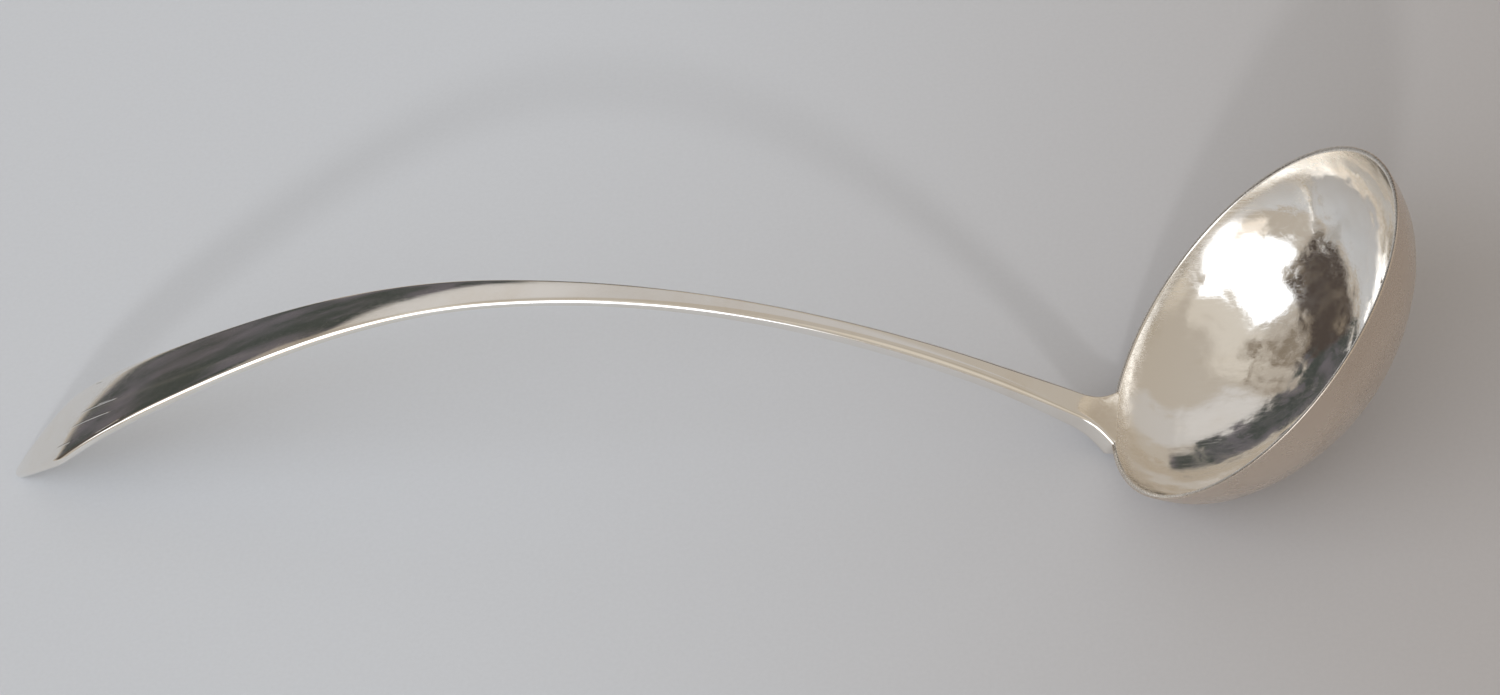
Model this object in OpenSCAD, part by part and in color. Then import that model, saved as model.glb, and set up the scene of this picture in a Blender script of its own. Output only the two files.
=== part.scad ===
// Hand-raised ladle: a round bowl soldered to a long arched stem with a pointed end.
// The ladle stands on the plane z = 0, on its bowl and on the tip of its stem.
// The stem runs towards -X, and both halves are alike on either side of the plane y = 0.

/* [Bowl] */
// Outer diameter of the bowl at its rim
bowl_d = 94; // [88:1:104]
// Depth of the bowl, from the rim plane to the outside of its bottom
bowl_depth = 29; // [27:0.5:32]
// Thickness of the raised sheet
wall = 1.2; // [0.8:0.1:2]
// Angle between the wall and the rim plane, at the rim
rim_wall_deg = 78; // [72:1:84]
// Radius of the tighter curve that carries the wall up to the rim
side_r = 26; // [23:0.5:28]
// How far the bowl is tipped towards the stem
bowl_tilt = 41; // [36:1:46]

/* [Length and arch] */
// Horizontal length of the stem, from the rim of the bowl to the tip
stem_length = 270; // [255:1:300]
// Height of the top face's long edges at the crown of the arch
arch_h = 55.4; // [48:0.2:66]
// Horizontal distance from the tip to the crown
arch_from_tip = 130; // [115:1:140]
// Height of those edges where the end blade bends into the arch
bend_h = 32.7; // [28:0.1:38]
// Horizontal distance from the tip to that bend
bend_from_tip = 47; // [40:0.5:52]
// Slope of the stem at that bend
bend_deg = 24.5; // [20:0.5:32]
// Slope of the stem at its tip
tip_deg = 46; // [38:1:52]

/* [Width of the stem] */
// Width across the shoulders of the pointed end
shoulder_w = 23; // [18:0.2:28]
// Horizontal distance from the tip to the shoulders
shoulder_from_tip = 17.2; // [14:0.2:24]
// Angle of each side of the point just behind the tip, seen from above
point_deg = 39; // [34:1:44]
// Radius of the tip, seen from above
tip_r = 2.4; // [1.6:0.1:4]
// How much the corner at each shoulder is eased
shoulder_ease = 1; // [0.4:0.1:2]
// Width of the blade on its way to the crown
blade_w = 16.4; // [14:0.2:20]
// Horizontal distance from the tip to the place of that width
blade_from_tip = 68; // [60:1:78]
// Width at the crown of the arch
crown_w = 8.6; // [7:0.2:12]
// Width at the waist, the narrowest place
waist_w = 5.6; // [4.8:0.1:7]
// Horizontal distance from the tip to the waist
waist_from_tip = 192; // [180:1:205]
// Width of the neck behind the bowl
neck_w = 7; // [6:0.2:9]
// Horizontal distance from the rim back to the neck
neck_from_rim = 22; // [18:1:30]
// Width the neck would have at the rim without its spread corners
rim_neck_w = 8.8; // [7:0.2:10.4]
// Width across the corners of the root, at the rim
root_w = 17.4; // [15:0.2:22]
// Horizontal distance over which the corners spread
corner_run = 8; // [6:0.5:14]

/* [Thickness of the stem] */
// Thickness of the flattened blade at its long edges
blade_t = 2; // [1.6:0.1:3]
// How steeply the domed top face falls away at its long edges
dome_deg = 7; // [2:1:12]
// Thickness of the stem's edges where it nears the root
stem_t = 4.2; // [3.4:0.1:5]
// Thickness of the root at the rim
root_t = 4.8; // [3.8:0.1:5.4]
// Horizontal distance from the tip to where the blade starts to thicken
thicken_from_tip = 140; // [140:1:156]
// Horizontal distance over which it thickens
thicken_run = 90; // [40:1:100]
// Radius of the long edges at the root
root_edge_r = 1; // [0.6:0.1:1.6]
// Horizontal distance over which the round stem squares up and dishes to the root
square_run = 30; // [20:1:40]

/* [Lap under the bowl] */
// Length of the tongue of the stem that laps the back of the bowl
lap_len = 7; // [5:0.5:9]
// Width of that tongue at its end
lap_end_w = 7; // [5:0.5:10]
// How far the end of the tongue stands out from the back of the bowl
lap_end_t = 0.5; // [0.3:0.1:0.8]

/* [Hidden] */
$fn = 120;

// The outside of the bowl is a shallow arc over the bottom and a tighter arc up the wall.
// They are laid out in the bowl's own frame, where z = 0 is the rim plane.
rim_r = bowl_d / 2;
side_x = rim_r - side_r * sin(rim_wall_deg);
side_z = side_r * cos(rim_wall_deg);
side_drop = bowl_depth + side_z;
bottom_r = (side_x * side_x + side_drop * side_drop - side_r * side_r) / (2 * (side_drop - side_r));
bottom_z = bottom_r - bowl_depth;
break_deg = atan2(side_x, bottom_z - side_z);
inner_r = side_r - wall;

// Tipping turns the bowl about its rim centre and lifts it onto its lowest point.
function tipped(x, z) = [x * cos(bowl_tilt) - z * sin(bowl_tilt), x * sin(bowl_tilt) + z * cos(bowl_tilt)];
bottom_c = tipped(0, bottom_z);
near_c = tipped(-side_x, side_z);
far_c = tipped(side_x, side_z);
rim_h = bowl_tilt < break_deg ? bottom_r - bottom_c[1] : side_r - near_c[1];
bowl_x_max = 90 - bowl_tilt > break_deg ? far_c[0] + side_r : bottom_c[0] + bottom_r;

// The top face of the stem runs level into the inside of the bowl at the rim.
wall_c = [near_c[0], near_c[1] + rim_h];
rim_deg = acos(side_z / inner_r) - bowl_tilt;
function on_wall(deg) = wall_c - inner_r * [sin(deg), cos(deg)];
joint = on_wall(rim_deg);
lap_end_deg = rim_deg - lap_len / side_r * 180 / PI;

// The tip is rounded to half of the blade's thickness and touches z = 0.
cap_r = blade_t / 2;
tip_x = joint[0] - stem_length;
cap_c = [tip_x + cap_r, cap_r];
cap_run = cap_r * cos(tip_deg);
face_start = cap_c + cap_r * [-sin(tip_deg), cos(tip_deg)];

// The part's middle lies over the origin.
middle_x = (tip_x + bowl_x_max) / 2;

// A cubic between two stations, each given as place, value and slope.
function cubic(a, b, x) = let (h = b[0] - a[0], u = (x - a[0]) / h)
    (1 + 2 * u) * (1 - u) * (1 - u) * a[1] + u * (1 - u) * (1 - u) * h * a[2]
    + u * u * (3 - 2 * u) * b[1] - u * u * (1 - u) * h * b[2];
function cubic_slope(a, b, x) = let (h = b[0] - a[0], u = (x - a[0]) / h)
    6 * u * (1 - u) * (b[1] - a[1]) / h + (1 - u) * (1 - 3 * u) * a[2] + u * (3 * u - 2) * b[2];
function segment(s, x, i = 0) = (i >= len(s) - 2 || x <= s[i + 1][0]) ? i : segment(s, x, i + 1);
function along(s, x) = let (i = segment(s, x)) cubic(s[i], s[i + 1], x);
function slope_along(s, x) = let (i = segment(s, x)) cubic_slope(s[i], s[i + 1], x);

// Slopes that carry a smooth curve through stations given as place and value.
function secant(p, i) = (p[i + 1][1] - p[i][1]) / (p[i + 1][0] - p[i][0]);
function through(p, i) = let (h0 = p[i][0] - p[i - 1][0], h1 = p[i + 1][0] - p[i][0])
    (secant(p, i - 1) * h1 + secant(p, i) * h0) / (h0 + h1);
function smoothed(p) = [for (i = [0 : len(p) - 1])
    [p[i][0], p[i][1], i == 0 ? secant(p, 0) : i == len(p) - 1 ? secant(p, i - 1) : through(p, i)]];
function ease(x) = let (u = max(0, min(1, x))) u * u * (3 - 2 * u);
function eased_min(a, b, k) = min(a, b) - pow(max(0, k - abs(a - b)), 2) / (4 * k);

// Side view: the line of the stem's top face, by distance from the tip.
root_at = cap_run + joint[0] - face_start[0];
profile = [
    [cap_run, face_start[1], tan(tip_deg)],
    [bend_from_tip, bend_h, tan(bend_deg)],
    [arch_from_tip, arch_h, 0],
    [root_at, joint[1], -tan(rim_deg)]
];

// Plan view: half widths, by distance from the tip.
flank_at = tip_r * (1 - sin(point_deg));
flank_y = tip_r * cos(point_deg);
flank_run = shoulder_from_tip - flank_at;
flank_bow = (flank_y + flank_run * tan(point_deg) - shoulder_w / 2) / (flank_run * flank_run);
flank_end = tan(point_deg) - 2 * flank_bow * flank_run;
function point_y(d) = d < flank_at ? sqrt(max(0, d * (2 * tip_r - d)))
    : d < shoulder_from_tip
        ? flank_y + (d - flank_at) * tan(point_deg) - flank_bow * (d - flank_at) * (d - flank_at)
        : shoulder_w / 2 + (d - shoulder_from_tip) * flank_end;
outline = smoothed([
    [shoulder_from_tip, shoulder_w / 2],
    [blade_from_tip, blade_w / 2],
    [arch_from_tip, crown_w / 2],
    [waist_from_tip, waist_w / 2],
    [root_at - neck_from_rim, neck_w / 2],
    [root_at, rim_neck_w / 2]
]);
function body_y(d) = d < shoulder_from_tip
    ? shoulder_w / 2 + (d - shoulder_from_tip) * outline[0][2] : along(outline, d);
corner_power = 2.5;
function corner_y(d) = let (u = max(0, 1 - (root_at - d) / corner_run))
    (root_w - rim_neck_w) / 2 * pow(u, corner_power);
function half_w(d) = eased_min(point_y(d), body_y(d), shoulder_ease) + corner_y(d);

// Thickness and the radius of the long edges, by distance from the tip.
function thick(d) = blade_t + (stem_t - blade_t) * ease((d - thicken_from_tip) / thicken_run)
    + (root_t - stem_t) * squared(d);
function squared(d) = ease(1 - (root_at - d) / square_run);
function edge_r(d) = let (t = thick(d) / 2) t + (root_edge_r - t) * squared(d);

// The top face is domed along the stem, and the whole root is dished to the bowl instead.
root_dish = 1 / (2 * (rim_r - wall));
function dome_h(d) = half_w(d) * tan(dome_deg) / 2 * (1 - squared(d));

// A ring is [middle x, middle z, slope, half width, half thickness, edge radius, dish, dome].
function cap_ring(a) = let (d = cap_run * (1 - cos(a)))
    concat(cap_c - cap_r * cos(a) * [cos(tip_deg), sin(tip_deg)],
        [tip_deg, half_w(d), cap_r * sin(a), cap_r, 0, dome_h(d) * sin(a)]);
function stem_ring(d) = let (
        turn = atan(slope_along(profile, d)),
        t = thick(d),
        face = [face_start[0] + d - cap_run, along(profile, d)])
    concat(face + t / 2 * [sin(turn), -cos(turn)],
        [turn, half_w(d), t / 2, edge_r(d), root_dish * squared(d), dome_h(d)]);
function lap_ring(v) = let (
        deg = rim_deg + (lap_end_deg - rim_deg) * v,
        t = root_t + (wall + lap_end_t - root_t) * v,
        w = lap_end_w + (root_w - lap_end_w) * sqrt(1 - v * v))
    concat(on_wall(deg) - t / 2 * [sin(deg), cos(deg)], [-deg, w / 2, t / 2, root_edge_r, root_dish, 0]);

// Rings stand close together at both ends and wider apart along the arch.
cap_steps = 4;
end_run = 24;
end_steps = 18;
arch_steps = 84;
lap_steps = 6;
arch_run = root_at - end_run - cap_run - end_run;
rings = concat(
    [for (i = [1 : cap_steps]) cap_ring(90 * i / cap_steps)],
    [for (i = [1 : end_steps]) stem_ring(cap_run + end_run * i / end_steps)],
    [for (i = [1 : arch_steps]) stem_ring(cap_run + end_run + arch_run * i / arch_steps)],
    [for (i = [1 : end_steps]) stem_ring(root_at - end_run + end_run * i / end_steps)],
    [for (i = [1 : lap_steps]) lap_ring(i / lap_steps)]
);

// One ring's outline: four rounded corners joined by flats.
corner_steps = 3;
flat_steps = 4;
function section(w, h, r) = let (c = min(r, h, w), x = w - c, z = h - c) concat(
    [for (i = [0 : corner_steps]) let (a = 90 * i / corner_steps) [x + c * cos(a), z + c * sin(a)]],
    [for (i = [1 : flat_steps - 1]) [x * (1 - 2 * i / flat_steps), h]],
    [for (i = [0 : corner_steps]) let (a = 90 + 90 * i / corner_steps) [-x + c * cos(a), z + c * sin(a)]],
    [for (i = [0 : corner_steps]) let (a = 180 + 90 * i / corner_steps) [-x + c * cos(a), -z + c * sin(a)]],
    [for (i = [1 : flat_steps - 1]) [-x * (1 - 2 * i / flat_steps), -h]],
    [for (i = [0 : corner_steps]) let (a = 270 + 90 * i / corner_steps) [x + c * cos(a), -z + c * sin(a)]]
);
function raised(g, y, z) = z + g[6] * y * y + (z > 0 ? g[7] * (1 - y * y / (g[3] * g[3])) : 0);
function placed(g) = [for (p = section(g[3], g[4], g[5])) let (up = raised(g, p[0], p[1]))
    [g[0] - sin(g[2]) * up, p[0], g[1] + cos(g[2]) * up]];

module swept(list, first, last) {
    loops = [for (g = list) placed(g)];
    n = len(loops[0]);
    count = len(loops);
    points = concat([first], [for (loop = loops) each loop], [last]);
    sides = [for (i = [0 : count - 2], j = [0 : n - 1]) let (
            a = 1 + i * n + j,
            b = 1 + i * n + (j + 1) % n)
        each [[a, a + n, b + n], [a, b + n, b]]];
    start = [for (j = [0 : n - 1]) [0, 1 + j, 1 + (j + 1) % n]];
    final = 1 + (count - 1) * n;
    finish = [for (j = [0 : n - 1]) [final + n, final + (j + 1) % n, final + j]];
    polyhedron(points = points, faces = concat(start, sides, finish));
}

module stem() {
    tip = cap_c - cap_r * [cos(tip_deg), sin(tip_deg)];
    last = rings[len(rings) - 1];
    swept(rings, [tip[0], 0, tip[1]], [last[0], 0, last[1]]);
}

// Half of the bowl's section, filled from the axis out to a surface set in by some amount.
module half_section(inset) {
    span = 2 * bowl_d;
    reach = span * [sin(break_deg), -cos(break_deg)];
    intersection() {
        translate([0, -span]) square([span, span]);
        union() {
            intersection() {
                translate([0, bottom_z]) circle(bottom_r - inset);
                polygon([[0, bottom_z], [0, bottom_z] + reach, [0, bottom_z - span]]);
            }
            intersection() {
                translate([side_x, side_z]) circle(side_r - inset);
                polygon([[side_x, side_z], [side_x, side_z] + reach,
                    [side_x + span, side_z - span], [side_x + span, side_z]]);
            }
        }
    }
}

module tip_bowl() {
    translate([0, 0, rim_h]) rotate([0, -bowl_tilt, 0]) children();
}

module bowl() {
    color([0.82, 0.79, 0.73])
    translate([-middle_x, 0, 0])
    tip_bowl()
    rotate_extrude()
    difference() {
        half_section(0);
        half_section(wall);
    }
}

module handle() {
    color([0.78, 0.76, 0.7])
    translate([-middle_x, 0, 0])
    difference() {
        stem();
        tip_bowl() rotate_extrude() half_section(0);
    }
}

bowl();
handle();
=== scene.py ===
# %% [markdown]
# # A hand-raised silver soup ladle
# The real ladle was made in two pieces by a silversmith. The bowl was raised from a flat disc with a
# hammer, and the handle was forged from a bar. The two were soldered together at the rim.
# The frame holds both as plain solids with the right sizes. They could be shown as they are, but silver
# is a mirror, and a mirror shows every flat facet of a coarse mesh. So this script makes both pieces
# again from the same named sizes, only finer, and then gives them their finish, floor and light.

from math import acos, atan, atan2, cos, degrees, pi, radians, sin, sqrt, tan

import bpy
import numpy as np
from mathutils import Matrix, Quaternion, Vector


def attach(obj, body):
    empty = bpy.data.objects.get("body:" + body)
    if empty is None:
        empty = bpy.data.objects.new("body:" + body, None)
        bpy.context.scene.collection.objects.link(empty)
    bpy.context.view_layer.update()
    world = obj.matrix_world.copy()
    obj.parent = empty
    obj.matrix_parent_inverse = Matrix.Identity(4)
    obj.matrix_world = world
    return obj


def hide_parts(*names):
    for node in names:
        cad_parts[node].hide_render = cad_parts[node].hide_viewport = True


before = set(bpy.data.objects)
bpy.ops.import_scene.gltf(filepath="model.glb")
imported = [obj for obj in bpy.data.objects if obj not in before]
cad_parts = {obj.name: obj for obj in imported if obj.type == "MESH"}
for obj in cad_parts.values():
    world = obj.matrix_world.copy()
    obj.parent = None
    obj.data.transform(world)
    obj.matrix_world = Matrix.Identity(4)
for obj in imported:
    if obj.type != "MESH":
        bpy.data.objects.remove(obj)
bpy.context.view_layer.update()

# %% [markdown]
# ## The sizes of the bowl
# A raised bowl is a body of revolution. Its outside is one shallow arc over the bottom and one tighter
# arc up the wall, and the inside follows at the thickness of the sheet. Two arcs that touch without a
# kink matter here, because a kink would show as a ring in every reflection. The sizes are the ones the
# solid was built with, in millimetres, so the fine bowl sits exactly where the plain one does.

# %% Name the sizes of the bowl
MM = 0.001
rim_radius = 47.0
bowl_depth = 29.0
sheet = 1.2
wall_lean = radians(78)
side_arc = 26.0
tip_over = radians(41)

side_x = rim_radius - side_arc * sin(wall_lean)
side_z = side_arc * cos(wall_lean)
side_drop = bowl_depth + side_z
bottom_arc = (side_x**2 + side_drop**2 - side_arc**2) / (2 * (side_drop - side_arc))
bottom_z = bottom_arc - bowl_depth
arc_change = atan2(side_x, bottom_z - side_z)
side_arc_inside = side_arc - sheet
print(f"The bottom arc of {bottom_arc:.1f} mm hands over at {degrees(arc_change):.1f} degrees")

# %% [markdown]
# ## Where the bowl stands
# The ladle rests on the underside of its bowl and on the tip of its handle, so the bowl lies tipped
# towards the handle. A point of the bowl is turned about the middle of the rim and lifted until the
# lowest place of the outside touches the table. The handle starts where its top face runs level into
# the inside of the bowl, and everything is then moved so that the middle of the ladle is over zero.

# %% Tip the bowl onto the table
def tipped(x, z):
    return np.array([x * cos(tip_over) - z * sin(tip_over), x * sin(tip_over) + z * cos(tip_over)])


bottom_centre = tipped(0, bottom_z)
near_centre = tipped(-side_x, side_z)
far_centre = tipped(side_x, side_z)
rim_height = bottom_arc - bottom_centre[1] if tip_over < arc_change else side_arc - near_centre[1]
bowl_end = far_centre[0] + side_arc

wall_centre = near_centre + np.array([0, rim_height])
root_slope = acos(side_z / side_arc_inside) - tip_over


def on_wall(angle):
    return wall_centre - side_arc_inside * np.array([sin(angle), cos(angle)])


joint = on_wall(root_slope)
print(f"The middle of the rim is {rim_height:.2f} mm up, and the joint is at {joint.round(2)} mm")

# %% [markdown]
# ## The sizes of the handle
# Seen from the side the handle is one long arch that dips to the table at its tip. Seen from above it
# has a pointed end with two shoulders, narrows to a thin waist and spreads again where it meets the
# bowl. Both lines are smooth curves through a few stations, measured by distance from the tip.

# %% Name the sizes of the handle
handle_length = 270.0
crown_height = 55.4
crown_at = 130.0
bend_height = 32.7
bend_at = 47.0
bend_slope = radians(24.5)
tip_slope = radians(46)

shoulder_width = 23.0
shoulder_at = 17.2
point_angle = radians(39)
point_radius = 2.4
shoulder_ease = 1.0
blade_width = 16.4
blade_at = 68.0
crown_width = 8.6
waist_width = 5.6
waist_at = 192.0
neck_width = 7.0
neck_before_rim = 22.0
rim_neck_width = 8.8
root_width = 17.4
corner_run = 8.0
corner_power = 2.5

blade_thickness = 2.0
dome_slope = radians(7)
stem_thickness = 4.2
root_thickness = 4.8
thicken_at = 140.0
thicken_run = 90.0
root_edge = 1.0
square_run = 30.0

lap_length = 7.0
lap_end_width = 7.0
lap_end_proud = 0.5

tip_radius = blade_thickness / 2
tip_x = joint[0] - handle_length
tip_centre = np.array([tip_x + tip_radius, tip_radius])
tip_run = tip_radius * cos(tip_slope)
face_start = tip_centre + tip_radius * np.array([-sin(tip_slope), cos(tip_slope)])
root_at = tip_run + joint[0] - face_start[0]
middle_x = (tip_x + bowl_end) / 2
print(f"From tip to lip the ladle is {bowl_end - tip_x:.1f} mm long")

# %% [markdown]
# ## Curves through stations
# A cubic between two stations is fixed by a place, a value and a slope at each end. Where no slope is
# given, a weighted mean of the slopes to both neighbours is used. These helpers give the side line, and
# the half width at any distance from the tip.

# %% Draw the lines of the handle
def cubic(a, b, x):
    run = b[0] - a[0]
    u = (x - a[0]) / run
    height = ((1 + 2 * u) * (1 - u) ** 2 * a[1] + u * (1 - u) ** 2 * run * a[2]
              + u * u * (3 - 2 * u) * b[1] - u * u * (1 - u) * run * b[2])
    slope = 6 * u * (1 - u) * (b[1] - a[1]) / run + (1 - u) * (1 - 3 * u) * a[2] + u * (3 * u - 2) * b[2]
    return height, slope


def along(stations, x):
    k = 0
    while k < len(stations) - 2 and x > stations[k + 1][0]:
        k += 1
    return cubic(stations[k], stations[k + 1], x)


def smoothed(places):
    steps = [(q[1] - p[1]) / (q[0] - p[0]) for p, q in zip(places, places[1:])]
    runs = [q[0] - p[0] for p, q in zip(places, places[1:])]
    inner = [(steps[k] * runs[k + 1] + steps[k + 1] * runs[k]) / (runs[k] + runs[k + 1])
             for k in range(len(steps) - 1)]
    return [(*p, s) for p, s in zip(places, [steps[0], *inner, steps[-1]])]


def ease(x):
    u = max(0.0, min(1.0, x))
    return u * u * (3 - 2 * u)


side_line = [
    (tip_run, face_start[1], tan(tip_slope)),
    (bend_at, bend_height, tan(bend_slope)),
    (crown_at, crown_height, 0.0),
    (root_at, joint[1], -tan(root_slope)),
]
outline = smoothed([
    (shoulder_at, shoulder_width / 2),
    (blade_at, blade_width / 2),
    (crown_at, crown_width / 2),
    (waist_at, waist_width / 2),
    (root_at - neck_before_rim, neck_width / 2),
    (root_at, rim_neck_width / 2),
])

# %% Give the point and the shoulders
flank_at = point_radius * (1 - sin(point_angle))
flank_y = point_radius * cos(point_angle)
flank_run = shoulder_at - flank_at
flank_bow = (flank_y + flank_run * tan(point_angle) - shoulder_width / 2) / flank_run**2
flank_end = tan(point_angle) - 2 * flank_bow * flank_run


def point_y(d):
    if d < flank_at:
        return sqrt(max(0.0, d * (2 * point_radius - d)))
    if d < shoulder_at:
        return flank_y + (d - flank_at) * tan(point_angle) - flank_bow * (d - flank_at) ** 2
    return shoulder_width / 2 + (d - shoulder_at) * flank_end


def body_y(d):
    if d < shoulder_at:
        return shoulder_width / 2 + (d - shoulder_at) * outline[0][2]
    return along(outline, d)[0]


def half_width(d):
    a, b = point_y(d), body_y(d)
    eased = min(a, b) - max(0.0, shoulder_ease - abs(a - b)) ** 2 / (4 * shoulder_ease)
    corner = (root_width - rim_neck_width) / 2 * max(0.0, 1 - (root_at - d) / corner_run) ** corner_power
    return eased + corner


for d in (shoulder_at, crown_at, waist_at, root_at):
    print(f"{d:6.1f} mm from the tip the handle is {2 * half_width(d):.1f} mm wide")

# %% [markdown]
# ## Skinning loops
# Both pieces are long tubes of loops: the bowl's loops run round its axis from the outside of the
# bottom over the rim to the inside, and the handle's loops run round its section from tip to root.
# One helper lays quads between neighbouring loops and closes both ends to a point. It prints the
# volume, and the sign of that volume says whether the faces look outwards.

# %% Make a skin
def skin(name, loops, first, last):
    count, around = loops.shape[:2]
    points = np.concatenate([[first], loops.reshape(-1, 3), [last]])
    step = np.arange(around)
    turn = (step + 1) % around
    rows = 1 + np.arange(count - 1)[:, None] * around
    next_rows = rows + around
    quads = np.stack([rows + step, rows + turn, next_rows + turn, next_rows + step], -1).reshape(-1, 4)
    end = 1 + (count - 1) * around
    start_fan = np.stack([np.zeros_like(step), 1 + turn, 1 + step], -1)
    end_fan = np.stack([np.full_like(step, len(points) - 1), end + step, end + turn], -1)
    triangles = np.concatenate([quads[:, [0, 1, 2]], quads[:, [0, 2, 3]], start_fan, end_fan])
    a, b, c = (points[triangles[:, k]] for k in range(3))
    volume = float(np.einsum("ij,ij->i", a, np.cross(b, c)).sum() / 6)
    faces = quads.tolist() + start_fan.tolist() + end_fan.tolist()
    if volume < 0:
        faces = [face[::-1] for face in faces]
    mesh = bpy.data.meshes.new(name)
    mesh.from_pydata((points * MM).tolist(), [], faces)
    mesh.polygons.foreach_set("use_smooth", [True] * len(mesh.polygons))
    mesh.update()
    piece = bpy.data.objects.new(name, mesh)
    bpy.context.collection.objects.link(piece)
    print(f"{name}: {len(faces)} faces, {abs(volume) / 1000:.2f} cm3")
    return piece


# %% [markdown]
# ## The section of the bowl
# The half section runs from the outside of the bottom up to the rim, over the rim and down the inside.
# The rim of a used ladle isn't sharp, so both of its edges are rounded a little. A quadratic curve
# between two points on the neighbouring lines does that well enough at less than half a millimetre.

# %% Lay out the half section
rim_round = 0.4
outside_steps = 84
inside_steps = 108
round_steps = 6


def bowl_arc(inset, share):
    """A point of the half section at a share of the way from the axis to the rim, set in by an amount."""
    low, high = bottom_arc - inset, side_arc - inset
    rim_angle = acos(side_z / high)
    first, second = low * arc_change, high * (rim_angle - arc_change)
    way = share * (first + second)
    if way < first:
        return np.array([low * sin(way / low), bottom_z - low * cos(way / low)])
    angle = arc_change + (way - first) / high
    return np.array([side_x + high * sin(angle), side_z - high * cos(angle)])


def bend_round(a, corner, b):
    u = np.linspace(0, 1, round_steps + 1)[:, None]
    return (1 - u) ** 2 * a + 2 * u * (1 - u) * corner + u * u * b


def bowl_section():
    outside = [bowl_arc(0, k / outside_steps) for k in range(1, outside_steps + 1)]
    inside = [bowl_arc(sheet, k / inside_steps) for k in range(1, inside_steps + 1)]
    out_rim, in_rim = outside.pop(), inside.pop()
    out_low, in_low = outside[-1] - out_rim, inside[-1] - in_rim
    out_start = out_rim + rim_round * out_low / np.linalg.norm(out_low)
    in_end = in_rim + rim_round * in_low / np.linalg.norm(in_low)
    outer_round = bend_round(out_start, out_rim, out_rim - [rim_round, 0])
    inner_round = bend_round(in_rim + [rim_round, 0], in_rim, in_end)
    return np.concatenate([outside, outer_round, inner_round, inside[::-1]]), len(outside)


section, outside_count = bowl_section()
rim_run = np.ptp(section[outside_count:-inside_steps + 1, 0])
print(f"The half section has {len(section)} points, and the rim is {rim_run:.2f} mm thick")

# %% [markdown]
# ## Hammer marks
# A raised bowl is finished by planishing: light, overlapping blows in rings from the middle out. Each
# blow leaves a mark a few millimetres wide and a few hundredths deep. It is far too shallow to see by
# its shade, but it makes the edge of every reflection waver. A bump texture could fake it, but real
# relief also bends the outline of the highlights and stays in the mesh. The blows are placed ring by
# ring with a fixed seed, and a soft minimum over the distance to them gives shallow dishes with soft
# ridges between.

# %% Place the hammer blows
arc_samples = 400
ring_waver = 0.35
turn_waver = 0.3
lift_waver = 0.25
last_ring = 1.02
points_at_once = 4096


def blow_places(inset, spacing, seed):
    rng = np.random.default_rng(seed)
    fine = np.array([bowl_arc(inset, s) for s in np.linspace(0, 1, arc_samples)])
    length = np.linalg.norm(np.diff(fine, axis=0), axis=1).sum()
    places = []
    for k in range(int(length / spacing) + 2):
        share = (k + ring_waver * rng.uniform(-1, 1)) * spacing / length
        r, z = bowl_arc(inset, min(last_ring, max(0.0, share)))
        number = max(1, round(2 * pi * abs(r) / spacing))
        turn = rng.uniform(0, 2 * pi)
        for j in range(number):
            a = turn + 2 * pi * (j + turn_waver * rng.uniform(-1, 1)) / number
            lift = lift_waver * spacing * rng.uniform(-1, 1)
            places.append([r * cos(a), r * sin(a), z + lift])
    return np.array(places)


def hammered(points, blows, mark_radius, softness):
    """Depth of the marks at each point in millimetres: most in the middle of a blow, none on a ridge."""
    out = np.empty(len(points))
    for k in range(0, len(points), points_at_once):
        near = points[k:k + points_at_once, None, :]
        gap = ((near - blows[None]) ** 2).sum(-1) / (2 * mark_radius)
        low = gap.min(1, keepdims=True)
        out[k:k + points_at_once] = low[:, 0] - softness * np.log(np.exp((low - gap) / softness).sum(1))
    return out.max() - out


# %% [markdown]
# ## Raising the bowl
# The section is turned round the axis, and each point is then pushed into the metal along its normal
# by the depth of the marks, so the bowl never grows. Near the rim the marks fade out, because the
# smith files and polishes the rim true. Only then is the whole bowl tipped and lifted onto the table.

# %% Raise the bowl
around_steps = 400
inside_mark = 120.0
inside_blows = 5.6
inside_seed = 11
outside_mark = 150.0
outside_blows = 6.5
outside_seed = 5
mark_soft = 0.006
rim_clear = 2.5


def raise_bowl():
    turn = 2 * pi * np.arange(around_steps) / around_steps
    normal = np.gradient(section, axis=0)
    normal = np.stack([normal[:, 1], -normal[:, 0]], -1)
    normal /= np.linalg.norm(normal, axis=1, keepdims=True)
    if normal[0, 1] > 0:
        normal = -normal
    loops = np.empty((len(section), around_steps, 3))
    for k, (r, z) in enumerate(section):
        loops[k] = np.stack([r * np.cos(turn), r * np.sin(turn), np.full_like(turn, z)], -1)
    facing = np.stack([normal[:, :1] * np.cos(turn), normal[:, :1] * np.sin(turn),
                       np.repeat(normal[:, 1:], around_steps, 1)], -1)
    fade = np.clip(-section[:, 1] / rim_clear, 0, 1)
    fade = (fade * fade * (3 - 2 * fade))[:, None]
    for part, inset, spacing, mark, seed in (
        (slice(0, outside_count), 0.0, outside_blows, outside_mark, outside_seed),
        (slice(len(section) - inside_steps + 1, None), sheet, inside_blows, inside_mark, inside_seed),
    ):
        flat = loops[part].reshape(-1, 3)
        blows = blow_places(inset, spacing, seed)
        depth = hammered(flat, blows, mark, mark_soft).reshape(loops[part].shape[:2])
        depth -= depth.min()
        loops[part] -= facing[part] * (depth * fade[part])[..., None]
        print(f"hammer marks up to {depth.max():.3f} mm deep")
    first, last = np.array([0, 0, loops[0, :, 2].mean()]), np.array([0, 0, loops[-1, :, 2].mean()])
    tip = np.array(Matrix.Rotation(-tip_over, 3, "Y")).T
    lift = np.array([-middle_x, 0, rim_height])
    return skin("raised_bowl", loops @ tip + lift, first @ tip + lift, last @ tip + lift)


bowl = raise_bowl()

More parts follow.
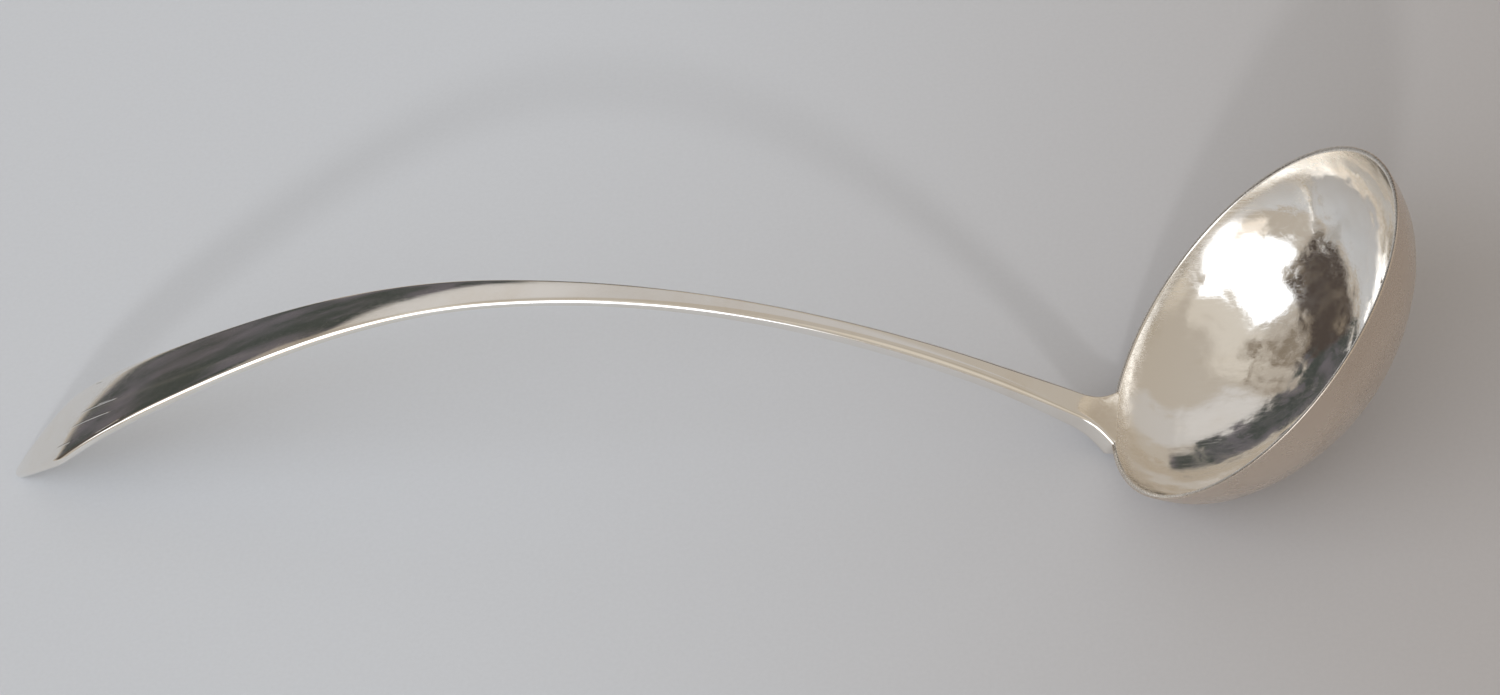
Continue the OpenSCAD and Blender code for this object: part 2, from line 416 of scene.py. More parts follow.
# %% [markdown]
# ## The section of the handle
# The blade is a flat strip with fully rounded long edges and a top face that is domed very slightly.
# That dome is what turns the reflection of the dark side of a room into a slanting edge on the blade.
# Towards the bowl the strip becomes a stout round stem, and the last stretch squares up and is dished
# to the curve of the bowl. A section is four rounded corners with flats between. Even the round edge of
# the blade keeps a hair of a flat, because faces without any height would upset the smooth shading. The
# lap that runs on under the bowl is the same section, with its top just inside the thickness of the sheet.

# %% Shape one section
corner_steps = 9
flat_steps = 12
side_flat = 0.97


def handle_section(width, half, edge):
    """Points round one section as sideways and up, in the order of a full turn."""
    c = min(edge, side_flat * half, width)
    x, z = width - c, half - c
    ring = []
    for quarter, (sx, sz) in enumerate(((1, 1), (-1, 1), (-1, -1), (1, -1))):
        for k in range(corner_steps + 1):
            a = pi / 2 * (quarter + k / corner_steps)
            ring.append((sx * x + c * cos(a), sz * z + c * sin(a)))
        if quarter % 2 == 0:
            ring += [(sx * x * (1 - 2 * k / flat_steps), sz * half) for k in range(1, flat_steps)]
    return np.array(ring)


def squared(d):
    return ease(1 - (root_at - d) / square_run)


def thickness(d):
    return (blade_thickness + (stem_thickness - blade_thickness) * ease((d - thicken_at) / thicken_run)
            + (root_thickness - stem_thickness) * squared(d))


def placed(middle, slope, width, half, edge, dish, dome):
    """One loop of the handle in millimetres, turned to the slope at its middle."""
    ring = handle_section(width, half, edge)
    y, z = ring[:, 0], ring[:, 1]
    up = z + dish * y * y + np.where(z > 0, dome * (1 - (y / width) ** 2), 0)
    return np.stack([middle[0] - sin(slope) * up, y, middle[1] + cos(slope) * up], -1)


# %% Forge the handle
tip_steps = 10
stem_step = 0.45
lap_steps = 22
lap_sink = 0.6
lap_flush = 0.12
root_dish = 1 / (2 * (rim_radius - sheet))
lap_end_angle = root_slope - lap_length / side_arc


def forge_handle():
    loops = []
    for k in range(1, tip_steps + 1):
        a = pi / 2 * k / tip_steps
        width = half_width(tip_run * (1 - cos(a)))
        middle = tip_centre - tip_radius * cos(a) * np.array([cos(tip_slope), sin(tip_slope)])
        loops.append(placed(middle, tip_slope, width, tip_radius * sin(a), tip_radius, 0,
                            width * tan(dome_slope) / 2 * sin(a)))
    for d in np.linspace(tip_run, root_at, int((root_at - tip_run) / stem_step))[1:]:
        height, rise = along(side_line, d)
        slope, half, width = atan(rise), thickness(d) / 2, half_width(d)
        inward = np.array([sin(slope), -cos(slope)])
        middle = np.array([face_start[0] + d - tip_run, height]) + half * inward
        edge = half + (root_edge - half) * squared(d)
        loops.append(placed(middle, slope, width, half, edge, root_dish * squared(d),
                            width * tan(dome_slope) / 2 * (1 - squared(d))))
    for k in range(1, lap_steps + 1):
        v = k / lap_steps
        a = root_slope + (lap_end_angle - root_slope) * v
        thick = root_thickness + (sheet + lap_end_proud - root_thickness) * v
        width = lap_end_width + (root_width - lap_end_width) * sqrt(1 - v * v)
        sink = lap_sink * ease((v - lap_flush) / lap_flush)
        outward = -np.array([sin(a), cos(a)])
        loops.append(placed(on_wall(a) + (thick + sink) / 2 * outward, -a, width / 2, (thick - sink) / 2,
                            root_edge, root_dish, 0))
    loops = np.array(loops)
    tip = tip_centre - tip_radius * np.array([cos(tip_slope), sin(tip_slope)])
    return skin("forged_handle", loops - [middle_x, 0, 0], [tip[0] - middle_x, 0, tip[1]],
                loops[-1].mean(0) - [middle_x, 0, 0])


handle = forge_handle()

# %% [markdown]
# ## Telling the frame
# Both pieces ride on the one body there is, because nothing on a ladle moves. Each one stands for the
# plain solid of the same piece, which is hidden.

# %% Put the pieces on the frame
for piece, node, slot_name in ((bowl, "bowl", "bowl_metal"), (handle, "handle", "handle_metal")):
    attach(piece, "root")
    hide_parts(node)

# %% [markdown]
# ## Small helpers for nodes
# Materials are made of nodes and links. A few short helpers keep each recipe readable: one adds a node
# and sets its values, one links, and one starts a node group with named inputs and outputs. A group is
# an effect that the silvers share, such as scratches, so that it is made once and tuned per material.

# %% Add nodes and groups
def add(tree, kind, values=(), **settings):
    node = tree.nodes.new(kind)
    for key, value in settings.items():
        setattr(node, key, value)
    for key, value in dict(values).items():
        node.inputs[key].default_value = value
    return node


def join(tree, *pairs):
    for out, into in pairs:
        tree.links.new(out, into)


def new_group(name, inputs, outputs):
    group = bpy.data.node_groups.new(name, "ShaderNodeTree")
    for label, kind, value in inputs:
        socket = group.interface.new_socket(name=label, in_out="INPUT", socket_type=kind)
        if value is not None:
            socket.default_value = value
    for label, kind in outputs:
        group.interface.new_socket(name=label, in_out="OUTPUT", socket_type=kind)
    return group, group.nodes.new("NodeGroupInput"), group.nodes.new("NodeGroupOutput")


def use_group(tree, group, **values):
    node = tree.nodes.new("ShaderNodeGroup")
    node.node_tree = group
    for key, value in values.items():
        node.inputs[key.replace("_", " ")].default_value = value
    return node


FLOAT, VECTOR = "NodeSocketFloat", "NodeSocketVector"

# %% [markdown]
# ## Fine scratches
# Polished silver that has been used and wiped for years is covered with hairline scratches in all
# directions. Each is much longer than it is wide. Noise stretched some twenty times along one
# direction and cut to the thin line where it passes its middle value gives such hairs. Three layers
# that lie across each other look like wear from wiping rather than like a brushed finish. Each layer
# has its heading, how much it is stretched, and its size.

# %% Build the scratches
scratch_layers = ((0.35, 0.035, 1.0), (-0.75, 0.05, 0.8), (1.45, 0.06, 0.6))
scratch_tilt = (0.2, 0.1)


def scratch_group():
    inputs = [("Place", VECTOR, None), ("Spacing", FLOAT, 500.0), ("Sharpness", FLOAT, 0.03)]
    group, given, made = new_group("hairline scratches", inputs, [("Mask", FLOAT)])
    layers = []
    for heading, stretch, size in scratch_layers:
        turned = add(group, "ShaderNodeMapping",
                     {"Rotation": (*scratch_tilt, heading), "Scale": (stretch * size, size, size)})
        noise = add(group, "ShaderNodeTexNoise", {"Detail": 2.0, "Roughness": 0.6})
        centre = add(group, "ShaderNodeMath", {1: 0.5}, operation="SUBTRACT")
        away = add(group, "ShaderNodeMath", operation="ABSOLUTE")
        line = add(group, "ShaderNodeMapRange", {"From Min": 0.0, "To Min": 1.0, "To Max": 0.0})
        join(group, (given.outputs["Place"], turned.inputs["Vector"]),
             (turned.outputs["Vector"], noise.inputs["Vector"]),
             (given.outputs["Spacing"], noise.inputs["Scale"]),
             (noise.outputs["Fac"], centre.inputs[0]), (centre.outputs[0], away.inputs[0]),
             (away.outputs[0], line.inputs["Value"]), (given.outputs["Sharpness"], line.inputs["From Max"]))
        layers.append(line.outputs["Result"])
    first = add(group, "ShaderNodeMath", operation="MAXIMUM")
    both = add(group, "ShaderNodeMath", operation="MAXIMUM")
    join(group, (layers[0], first.inputs[0]), (layers[1], first.inputs[1]),
         (first.outputs[0], both.inputs[0]), (layers[2], both.inputs[1]),
         (both.outputs[0], made.inputs["Mask"]))
    return group


scratches = scratch_group()
print(f"{scratches.name}: {len(scratches.nodes)} nodes")

# %% [markdown]
# ## Small ripples from the polish
# Between the hammer marks the surface still isn't a perfect mirror. Buffing leaves soft ripples a few
# millimetres wide. They are too small for the mesh, so here a bump is the right tool. It mixes two
# sizes of smooth noise, and each material says how high its ripples are.

# %% Build the ripples
def ripple_group():
    inputs = [("Place", VECTOR, None), ("Large", FLOAT, 300.0), ("Small", FLOAT, 800.0),
              ("Small share", FLOAT, 0.3)]
    group, given, made = new_group("polish ripples", inputs, [("Height", FLOAT)])
    wide = add(group, "ShaderNodeTexNoise", {"Detail": 1.0, "Roughness": 0.4})
    fine = add(group, "ShaderNodeTexNoise", {"Detail": 1.0, "Roughness": 0.5})
    both = add(group, "ShaderNodeMix", data_type="FLOAT")
    for noise, size, part in ((wide, "Large", "A"), (fine, "Small", "B")):
        join(group, (given.outputs["Place"], noise.inputs["Vector"]),
             (given.outputs[size], noise.inputs["Scale"]), (noise.outputs["Fac"], both.inputs[part]))
    join(group, (given.outputs["Small share"], both.inputs["Factor"]),
         (both.outputs["Result"], made.inputs["Height"]))
    return group


ripples = ripple_group()
print(f"{ripples.name}: {len(ripples.nodes)} nodes")

# %% [markdown]
# ## Warm tarnish
# Old silver yellows where a cloth seldom reaches. It shows as broad warm clouds with a few denser
# specks, and never as a hard edge. One large noise gives the clouds, a finer one breaks them up, and
# both pass through a soft range so that most of the surface stays clean.

# %% Build the tarnish
def tarnish_group():
    inputs = [("Place", VECTOR, None), ("Clouds", FLOAT, 40.0), ("Specks", FLOAT, 600.0),
              ("Reach", FLOAT, 0.5)]
    group, given, made = new_group("warm tarnish", inputs, [("Mask", FLOAT)])
    clouds = add(group, "ShaderNodeTexNoise", {"Detail": 4.0, "Roughness": 0.55})
    specks = add(group, "ShaderNodeTexNoise", {"Detail": 3.0, "Roughness": 0.6})
    broad = add(group, "ShaderNodeMapRange", {"From Min": 0.35, "From Max": 0.7},
                interpolation_type="SMOOTHSTEP")
    fine = add(group, "ShaderNodeMapRange", {"From Min": 0.3, "From Max": 0.75, "To Min": 0.55})
    together = add(group, "ShaderNodeMath", operation="MULTIPLY")
    reach = add(group, "ShaderNodeMath", operation="MULTIPLY", use_clamp=True)
    for noise, size, soft, part in ((clouds, "Clouds", broad, 0), (specks, "Specks", fine, 1)):
        join(group, (given.outputs["Place"], noise.inputs["Vector"]),
             (given.outputs[size], noise.inputs["Scale"]), (noise.outputs["Fac"], soft.inputs["Value"]),
             (soft.outputs["Result"], together.inputs[part]))
    join(group, (together.outputs[0], reach.inputs[0]), (given.outputs["Reach"], reach.inputs[1]),
         (reach.outputs[0], made.inputs["Mask"]))
    return group


tarnish = tarnish_group()
print(f"{tarnish.name}: {len(tarnish.nodes)} nodes")

# %% [markdown]
# ## A few long scratches
# Near its tip the blade carries a handful of longer, deeper scratches from being pushed about in a
# drawer. Each one is a straight groove between two places on the top face, in millimetres. The
# position is turned and scaled so that the groove runs along the first axis, and the groove is deepest
# in its middle line.

# %% Build one long scratch
def groove_group():
    inputs = [("Place", VECTOR, None), ("Middle", VECTOR, (0, 0, 0)), ("Turn", VECTOR, (0, 0, 0)),
              ("Reach", VECTOR, (1, 1, 1))]
    group, given, made = new_group("long scratch", inputs, [("Mask", FLOAT)])
    laid = add(group, "ShaderNodeMapping", vector_type="TEXTURE")
    parts = add(group, "ShaderNodeSeparateXYZ")
    for label, into in (("Place", "Vector"), ("Middle", "Location"), ("Turn", "Rotation"),
                        ("Reach", "Scale")):
        join(group, (given.outputs[label], laid.inputs[into]))
    join(group, (laid.outputs["Vector"], parts.inputs[0]))
    across = add(group, "ShaderNodeMapRange", {"From Min": 1.0, "From Max": 0.0})
    along_it = add(group, "ShaderNodeMapRange", {"From Min": 1.0, "From Max": 0.4})
    both = add(group, "ShaderNodeMath", operation="MULTIPLY")
    for part, mask, slot in (("Y", across, 0), ("X", along_it, 1)):
        away = add(group, "ShaderNodeMath", operation="ABSOLUTE")
        join(group, (parts.outputs[part], away.inputs[0]), (away.outputs[0], mask.inputs["Value"]),
             (mask.outputs["Result"], both.inputs[slot]))
    join(group, (both.outputs[0], made.inputs["Mask"]))
    return group


groove = groove_group()
groove_half_width = 0.22
groove_depth = 0.05
long_scratches = (
    ((-150.5, 0.6), (-137.9, -1.4)),
    ((-152.6, -2.8), (-138.0, -5.3)),
    ((-156.2, -6.7), (-151.8, -7.8)),
    ((-148.7, 9.7), (-145.8, 8.7)),
    ((-145.6, 0.3), (-139.4, -1.0)),
    ((-147.5, -10.1), (-133.4, -8.6)),
)
print(f"The blade has {len(long_scratches)} long scratches")

# %% [markdown]
# ## The three silvers
# The metal is the same everywhere, but it has three finishes. The inside of the bowl is planished and
# a little soft in its shine. Its outside is seldom polished, so it is duller and browner, and its colour
# is darkened further as painted shade for the shadowed floor that it reflects. The handle is filed flat
# and buffed, so its reflections are crisper, but hands and drawers have scratched it more.
# Each recipe mixes clean silver with warm tarnish by a mask, takes its roughness from haze and
# scratches, and adds ripples and scratches as a very low bump.
# A cloth seldom reaches the rim and the root. There the metal turns warmer and more like satin, along
# a warm way: a direction, the places in metres where the change starts and ends, how warm it gets, and
# how much roughness it adds. The satin comes last, over a third of that way.

# %% Mix the silvers
clean_silver = (0.93, 0.905, 0.865, 1)
warm_silver = (0.80, 0.71, 0.585, 1)
# The outside's two tones are darker and browner partly as tarnish and partly as painted shade for the
# shadowed floor it reflects.
dull_silver_painted_shade = (0.78, 0.685, 0.59, 1)
brown_silver_painted_shade = (0.62, 0.515, 0.425, 1)
small_ripples = 2.6
satin_share = 0.35
haze_size = 55.0
scratch_dulling = 0.08


def silver(name, tones, polish, haze, ripple_size, ripple_height, scratch_spacing, scratch_height,
           cloud_size, cloud_reach, warm_way, grooves=()):
    material = bpy.data.materials.new(name)
    material.use_nodes = True
    tree = material.node_tree
    tree.nodes.clear()
    shader = add(tree, "ShaderNodeBsdfPrincipled", {"Metallic": 1.0})
    surface = add(tree, "ShaderNodeOutputMaterial")
    where = add(tree, "ShaderNodeTexCoord").outputs["Object"]
    lines = use_group(tree, scratches, Spacing=scratch_spacing)
    waves = use_group(tree, ripples, Large=ripple_size, Small=small_ripples * ripple_size)
    warm = use_group(tree, tarnish, Clouds=cloud_size, Reach=cloud_reach)
    axis, clean_at, warm_at, warmth, dulling = warm_way
    along_way = add(tree, "ShaderNodeVectorMath", {1: axis}, operation="DOT_PRODUCT")
    seldom_rubbed = add(tree, "ShaderNodeMapRange",
                        {"From Min": clean_at, "From Max": warm_at, "To Max": warmth},
                        interpolation_type="SMOOTHSTEP")
    warmer = add(tree, "ShaderNodeMath", operation="MAXIMUM")
    satin_at = warm_at - satin_share * (warm_at - clean_at)
    satin = add(tree, "ShaderNodeMapRange", {"From Min": satin_at, "From Max": warm_at, "To Max": dulling},
                interpolation_type="SMOOTHSTEP")
    roughest = add(tree, "ShaderNodeMath", operation="ADD")
    hazy = add(tree, "ShaderNodeTexNoise", {"Scale": haze_size, "Detail": 3.0, "Roughness": 0.6})
    dull = add(tree, "ShaderNodeMapRange",
               {"From Min": 0.3, "From Max": 0.7, "To Min": polish, "To Max": polish + haze},
               interpolation_type="SMOOTHSTEP")
    rough = add(tree, "ShaderNodeMath", {1: scratch_dulling}, operation="MULTIPLY_ADD")
    tint = add(tree, "ShaderNodeMix", {"A": tones[0], "B": tones[1]}, data_type="RGBA")
    wave_bump = add(tree, "ShaderNodeBump", {"Distance": ripple_height * MM})
    line_bump = add(tree, "ShaderNodeBump", {"Distance": scratch_height * MM}, invert=True)
    join(tree, (where, lines.inputs["Place"]), (where, waves.inputs["Place"]), (where, warm.inputs["Place"]),
         (where, hazy.inputs["Vector"]), (where, along_way.inputs[0]))
    join(tree, (hazy.outputs["Fac"], dull.inputs["Value"]), (lines.outputs["Mask"], rough.inputs[0]),
         (dull.outputs["Result"], rough.inputs[2]), (rough.outputs[0], roughest.inputs[0]),
         (along_way.outputs["Value"], satin.inputs["Value"]), (satin.outputs["Result"], roughest.inputs[1]),
         (roughest.outputs[0], shader.inputs["Roughness"]))
    join(tree, (along_way.outputs["Value"], seldom_rubbed.inputs["Value"]),
         (warm.outputs["Mask"], warmer.inputs[0]), (seldom_rubbed.outputs["Result"], warmer.inputs[1]),
         (warmer.outputs[0], tint.inputs["Factor"]), (tint.outputs["Result"], shader.inputs["Base Color"]))
    join(tree, (waves.outputs["Height"], wave_bump.inputs["Height"]),
         (lines.outputs["Mask"], line_bump.inputs["Height"]),
         (wave_bump.outputs["Normal"], line_bump.inputs["Normal"]),
         (shader.outputs["BSDF"], surface.inputs["Surface"]))
    relief = line_bump.outputs["Normal"]
    for (x0, y0), (x1, y1) in grooves:
        mark = use_group(tree, groove, Middle=((x0 + x1) / 2 * MM, (y0 + y1) / 2 * MM, 0),
                         Turn=(0, 0, atan2(y1 - y0, x1 - x0)),
                         Reach=(sqrt((x1 - x0) ** 2 + (y1 - y0) ** 2) / 2 * MM, groove_half_width * MM, 1))
        cut = add(tree, "ShaderNodeBump", {"Distance": groove_depth * MM}, invert=True)
        join(tree, (where, mark.inputs["Place"]), (mark.outputs["Mask"], cut.inputs["Height"]),
             (relief, cut.inputs["Normal"]))
        relief = cut.outputs["Normal"]
    join(tree, (relief, shader.inputs["Normal"]))
    return material


# %% Finish the bowl and the handle
bowl_axis = (-sin(tip_over), 0.0, cos(tip_over))
handle_axis = (1.0, 0.0, 0.0)
rim_plane = (-middle_x * bowl_axis[0] + rim_height * bowl_axis[2]) * MM
inside_silver = silver(
    "planished silver", (clean_silver, warm_silver), polish=0.06, haze=0.05, ripple_size=330.0,
    ripple_height=0.04, scratch_spacing=450.0, scratch_height=0.0006, cloud_size=38.0, cloud_reach=0.5,
    warm_way=(bowl_axis, rim_plane - 0.02, rim_plane - 0.001, 0.35, 0.16))
outside_silver = silver(
    "dull silver with painted shade", (dull_silver_painted_shade, brown_silver_painted_shade), polish=0.2, haze=0.1, ripple_size=330.0,
    ripple_height=0.02, scratch_spacing=450.0, scratch_height=0.0003, cloud_size=60.0, cloud_reach=0.6,
    warm_way=(bowl_axis, rim_plane - 0.02, rim_plane, 0.3, 0.0))
handle_silver = silver(
    "buffed silver", (clean_silver, warm_silver), polish=0.035, haze=0.03, ripple_size=140.0,
    ripple_height=0.008, scratch_spacing=650.0, scratch_height=0.0006, cloud_size=45.0, cloud_reach=0.4,
    warm_way=(handle_axis, 0.078, 0.1, 0.22, 0.1), grooves=long_scratches)

# The outside faces take the duller silver, whose darker colour is partly painted shade.
outside_faces = (outside_count + round_steps) * around_steps
finish_of_face = np.zeros(len(bowl.data.polygons), dtype=np.int32)
finish_of_face[:outside_faces] = 1
finish_of_face[-2 * around_steps:-around_steps] = 1
bowl.data.materials.append(inside_silver)
bowl.data.materials.append(outside_silver)
bowl.data.polygons.foreach_set("material_index", finish_of_face)
handle.data.materials.append(handle_silver)
print(f"{finish_of_face.sum()} of {len(finish_of_face)} faces of the bowl have the dull finish")

# %% [markdown]
# ## The floor
# The ladle lies on a plain matt board with a faint grain. Its colour carries a painted fall of light: a
# pale cool grey where the window light reaches it, turning a little darker and warmer towards the bowl's
# side as painted shade. A flat colour would make the picture look pasted together, so the colour runs
# softly across the board. The board lies a hair below the ladle, so that the two never share a plane.

# %% Lay the floor
floor_size = 8.0
floor_gap = 0.00005
floor_roughness = 0.8
# The painted light: a cool grey on the window's side that runs into a darker, warmer painted shade.
painted_light_grey = (0.7, 0.73, 0.775, 1)
painted_shade_grey = (0.475, 0.445, 0.43, 1)
painted_light_until = -0.1
painted_shade_from = 0.3
grain_size = 900.0
grain_dark, grain_light = 0.97, 1.03


def lay_floor():
    mesh = bpy.data.meshes.new("floor")
    r, z = floor_size / 2, -floor_gap
    mesh.from_pydata([(-r, -r, z), (r, -r, z), (r, r, z), (-r, r, z)], [], [(0, 1, 2, 3)])
    floor = bpy.data.objects.new("floor", mesh)
    bpy.context.collection.objects.link(floor)
    material = bpy.data.materials.new("matt board")
    material.use_nodes = True
    tree = material.node_tree
    shader = tree.nodes["Principled BSDF"]
    shader.inputs["Roughness"].default_value = floor_roughness
    place = add(tree, "ShaderNodeTexCoord")
    parts = add(tree, "ShaderNodeSeparateXYZ")
    run = add(tree, "ShaderNodeMapRange", {"From Min": painted_light_until, "From Max": painted_shade_from},
              interpolation_type="SMOOTHSTEP")
    tone = add(tree, "ShaderNodeMix", {"A": painted_light_grey, "B": painted_shade_grey}, data_type="RGBA")
    grain = add(tree, "ShaderNodeTexNoise", {"Scale": grain_size, "Detail": 2.0})
    speck = add(tree, "ShaderNodeMapRange", {"To Min": grain_dark, "To Max": grain_light})
    paper = add(tree, "ShaderNodeVectorMath", operation="SCALE")
    join(tree, (place.outputs["Object"], parts.inputs[0]), (parts.outputs["X"], run.inputs["Value"]),
         (run.outputs["Result"], tone.inputs["Factor"]), (place.outputs["Object"], grain.inputs["Vector"]),
         (grain.outputs["Fac"], speck.inputs["Value"]), (tone.outputs["Result"], paper.inputs[0]),
         (speck.outputs["Result"], paper.inputs["Scale"]), (paper.outputs[0], shader.inputs["Base Color"]))
    mesh.materials.append(material)


lay_floor()
print(f"The floor is {floor_size:.0f} m wide")

# %% [markdown]
# ## What the silver sees
# A mirror has no look of its own: it shows the room. The real ladle lay beside a big soft window on
# its left, with the dim side of a room behind it and a pale ceiling above. Cards and lamps on stands
# could stand for these, but they would get in the way of other views. So the world itself carries the
# room, as soft panels that are placed by heading and height. A panel has a heading, half a width, a low
# edge, a high edge and a softness, all in degrees, and then its tone. Headings count from the bowl's
# end of the ladle, turning away from the camera.

# %% Build a soft panel
def panel_group():
    inputs = [("Direction", VECTOR, None), ("Heading", FLOAT, 0.0), ("Half width", FLOAT, 0.5),
              ("Low", FLOAT, 0.0), ("High", FLOAT, 1.0), ("Soft", FLOAT, 0.05)]
    group, given, made = new_group("soft panel", inputs, [("Mask", FLOAT)])
    back = add(group, "ShaderNodeMath", {1: -1.0}, operation="MULTIPLY")
    turned = add(group, "ShaderNodeVectorRotate", rotation_type="Z_AXIS")
    parts = add(group, "ShaderNodeSeparateXYZ")
    heading = add(group, "ShaderNodeMath", operation="ARCTAN2")
    off = add(group, "ShaderNodeMath", operation="ABSOLUTE")
    height = add(group, "ShaderNodeMath", operation="ARCSINE")
    join(group, (given.outputs["Heading"], back.inputs[0]), (back.outputs[0], turned.inputs["Angle"]),
         (given.outputs["Direction"], turned.inputs["Vector"]), (turned.outputs["Vector"], parts.inputs[0]),
         (parts.outputs["Y"], heading.inputs[0]), (parts.outputs["X"], heading.inputs[1]),
         (heading.outputs[0], off.inputs[0]), (parts.outputs["Z"], height.inputs[0]))
    masks = []
    for value, edge, sign in ((off.outputs[0], "Half width", -1.0), (height.outputs[0], "Low", 1.0),
                              (height.outputs[0], "High", -1.0)):
        gap = add(group, "ShaderNodeMath", operation="SUBTRACT")
        share = add(group, "ShaderNodeMath", operation="DIVIDE")
        edge_mask = add(group, "ShaderNodeMapRange", {"From Min": -sign, "From Max": sign},
                        interpolation_type="SMOOTHSTEP")
        join(group, (value, gap.inputs[0]), (given.outputs[edge], gap.inputs[1]),
             (gap.outputs[0], share.inputs[0]), (given.outputs["Soft"], share.inputs[1]),
             (share.outputs[0], edge_mask.inputs["Value"]))
        masks.append(edge_mask.outputs["Result"])
    first = add(group, "ShaderNodeMath", operation="MULTIPLY")
    second = add(group, "ShaderNodeMath", operation="MULTIPLY")
    join(group, (masks[0], first.inputs[0]), (masks[1], first.inputs[1]),
         (first.outputs[0], second.inputs[0]), (masks[2], second.inputs[1]),
         (second.outputs[0], made.inputs["Mask"]))
    return group


soft_panel = panel_group()
print(f"{soft_panel.name}: {len(soft_panel.nodes)} nodes")

# %% Name the tones and the places
ceiling_tone = (0.49, 0.445, 0.39, 1)
ceiling_glow = (0.66, 0.615, 0.55, 1)
wall_tone = (0.55, 0.53, 0.515, 1)
bright_wall = (0.64, 0.62, 0.605, 1)
sunny_wall = (0.68, 0.62, 0.53, 1)
wall_shade = (0.43, 0.38, 0.305, 1)
window_light = (2.0, 2.1, 2.25, 1)
window_sill = (1.0, 0.92, 0.83, 1)
deep_green = (0.062, 0.07, 0.064, 1)
deep_purple = (0.14, 0.13, 0.143, 1)
deep_brown = (0.075, 0.06, 0.052, 1)
pale_brown = (0.24, 0.2, 0.155, 1)

walls = (
    (84, 50, 34, 57, 3, wall_tone),
    (-145, 70, 50, 72, 6, ceiling_glow),
    (116, 20, 36, 56, 6, bright_wall),
    (-57, 12, 18, 47, 5, sunny_wall),
    (-26, 9, 25, 52, 6, wall_shade),
)
patch_place = (158, 18, 30, 58, 5)
wood_place = (174, 23, 4, 31, 2.5)
curtain_places = (
    (96, 6, 16, 30, 2.5),
    (113, 11, 15.5, 35.5, 1.5),
    (130, 9, 1.5, 34, 1.5),
    (146, 8, 1.5, 28, 1.5),
    (78, 25, 3, 14, 2.5),
)
window = (
    (-114, 14, 7, 22, 3, window_sill),
    (-132, 43, 33, 53, 3, window_light),
    (-130, 29, 19, 37, 3, window_light),
    (-93, 11, 4, 38, 2.5, window_light),
)
curtain_folds = (7.0, 0.4, 0.6)
wood_blotches = (5.0, 0.5, 0.72)
patch_blotches = (6.0, 0.44, 0.6)
print(f"The walls take {len(walls)} panels, and the window {len(window)}")


# %% Paint the room into the world
def panel(tree, direction, heading, half, low, high, soft):
    mask = use_group(tree, soft_panel, Heading=radians(heading), Half_width=radians(half),
                     Low=radians(low), High=radians(high), Soft=radians(soft))
    join(tree, (direction, mask.inputs["Direction"]))
    return mask.outputs["Mask"]


def layer(tree, mask, under, over):
    """Lay one tone over another by a mask. A tone is a colour or the output of a node."""
    mixed = add(tree, "ShaderNodeMix", data_type="RGBA")
    join(tree, (mask, mixed.inputs["Factor"]))
    for tone, into in ((under, mixed.inputs["A"]), (over, mixed.inputs["B"])):
        if isinstance(tone, tuple):
            into.default_value = tone
        else:
            join(tree, (tone, into))
    return mixed.outputs["Result"]


def blotches(tree, direction, size, low, high):
    blur = add(tree, "ShaderNodeTexNoise", {"Scale": size, "Detail": 3.0, "Roughness": 0.6})
    mask = add(tree, "ShaderNodeMapRange", {"From Min": low, "From Max": high},
               interpolation_type="SMOOTHSTEP")
    join(tree, (direction, blur.inputs["Vector"]), (blur.outputs["Fac"], mask.inputs["Value"]))
    return mask.outputs["Result"]


def paint(tree, direction, tone, panels):
    """Lay soft panels over a tone, one after another."""
    for *place, over in panels:
        tone = layer(tree, panel(tree, direction, *place), tone, over)
    return tone


def paint_room():
    world = bpy.data.worlds.new("room")
    bpy.context.scene.world = world
    world.use_nodes = True
    tree = world.node_tree
    direction = add(tree, "ShaderNodeTexCoord").outputs["Generated"]
    curtain = layer(tree, blotches(tree, direction, *curtain_folds), deep_green, deep_purple)
    wood = layer(tree, blotches(tree, direction, *wood_blotches), deep_brown, pale_brown)
    patch = add(tree, "ShaderNodeMath", operation="MULTIPLY")
    join(tree, (panel(tree, direction, *patch_place), patch.inputs[0]),
         (blotches(tree, direction, *patch_blotches), patch.inputs[1]))
    tone = paint(tree, direction, ceiling_tone, walls)
    tone = layer(tree, patch.outputs[0], tone, pale_brown)
    curtains = [(*place, curtain) for place in curtain_places]
    tone = paint(tree, direction, tone, [(*wood_place, wood), *curtains, *window])
    join(tree, (tone, tree.nodes["Background"].inputs["Color"]))


paint_room()
print("The room has a window, a dim side and a pale ceiling")

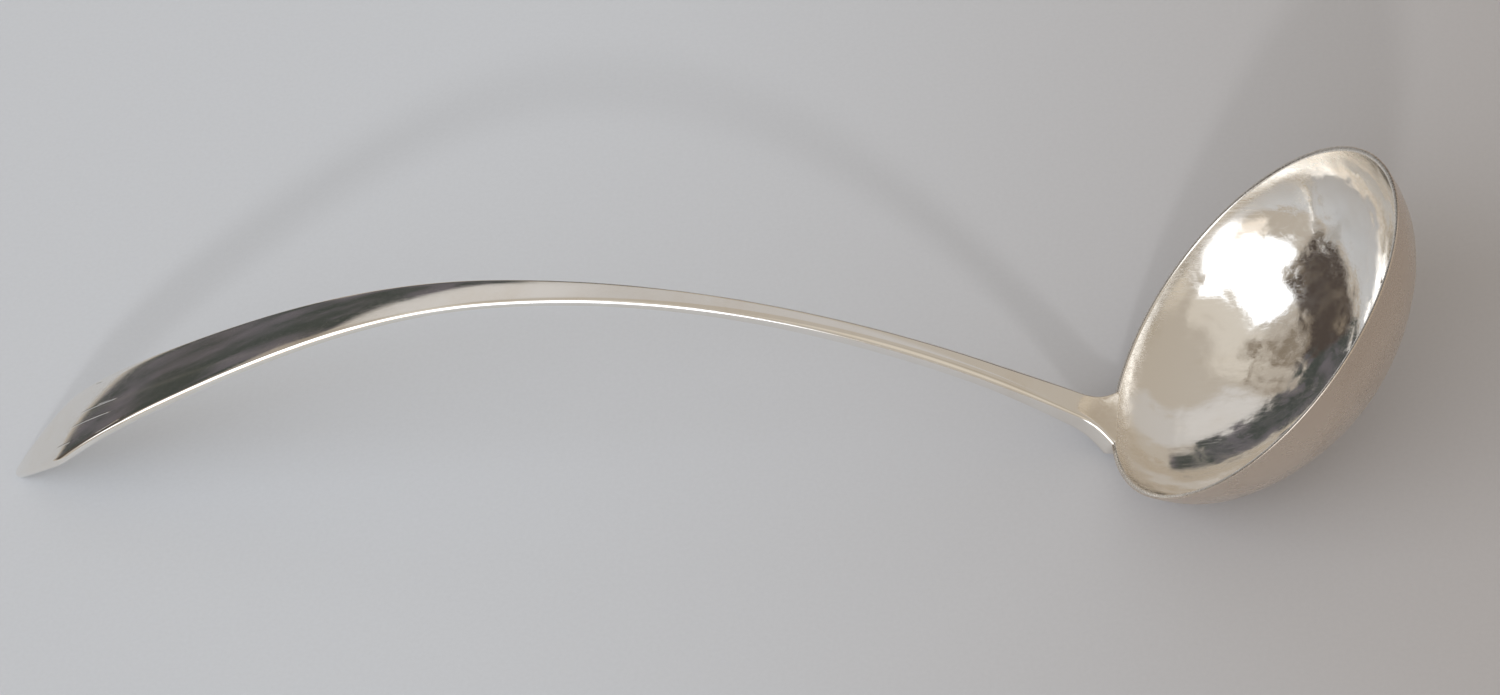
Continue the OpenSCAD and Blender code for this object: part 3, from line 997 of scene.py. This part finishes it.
# %% [markdown]
# ## The small lamp
# Besides the window there is one small, weak lamp low in front. It adds little light, but it throws the
# long, faint shadow of the arch onto the board behind the handle. The silver doesn't show it, because
# its glint would run along every round edge as a hard white line. A sun lamp with a small angle does
# this evenly over the whole length.

# %% Hang the lamp
lamp_heading = radians(-86.5)
lamp_height = radians(22)
lamp_strength = 0.65
lamp_spread = radians(4)


def hang_lamp():
    data = bpy.data.lights.new("small lamp", "SUN")
    data.energy = lamp_strength
    data.angle = lamp_spread
    lamp = bpy.data.objects.new("small lamp", data)
    lamp.visible_glossy = False
    towards = Vector((cos(lamp_height) * cos(lamp_heading), cos(lamp_height) * sin(lamp_heading),
                      sin(lamp_height)))
    lamp.rotation_euler = (-towards).to_track_quat("-Z", "Y").to_euler()
    bpy.context.collection.objects.link(lamp)


hang_lamp()
print(f"The lamp stands {degrees(lamp_height):.0f} degrees up, with a strength of {lamp_strength}")

# %% [markdown]
# ## The camera
# The picture was taken from in front and above with a long lens, so the ladle shows little
# perspective. The camera looks at a point on the table under the middle of the handle, from a
# distance and a height angle, and is rolled so that the tip comes down at the left.

# %% Set up the camera
aim = Vector((0.0070, 0.0346, 0.0))
distance = 1.2141
camera_heading = radians(-75.33)
camera_height = radians(43.39)
camera_roll = radians(-12.44)
lens = 120.0
sensor_width = 36.0
nearest_seen = 0.01


def set_camera():
    data = bpy.data.cameras.new("camera")
    data.lens = lens
    data.sensor_width = sensor_width
    data.clip_start = nearest_seen
    camera = bpy.data.objects.new("camera", data)
    away = Vector((cos(camera_height) * cos(camera_heading), cos(camera_height) * sin(camera_heading),
                   sin(camera_height)))
    camera.location = aim + distance * away
    camera.rotation_mode = "QUATERNION"
    camera.rotation_quaternion = (-away).to_track_quat("-Z", "Y") @ Quaternion((0, 0, 1), camera_roll)
    bpy.context.collection.objects.link(camera)
    bpy.context.scene.camera = camera
    return camera


camera = set_camera()
print("The camera stands at", [round(c, 3) for c in camera.location])

# %% [markdown]
# ## Closing up
# Standard colour keeps every tone as it is written.

# %% Keep the tones as written
bpy.context.scene.view_settings.view_transform = "Standard"
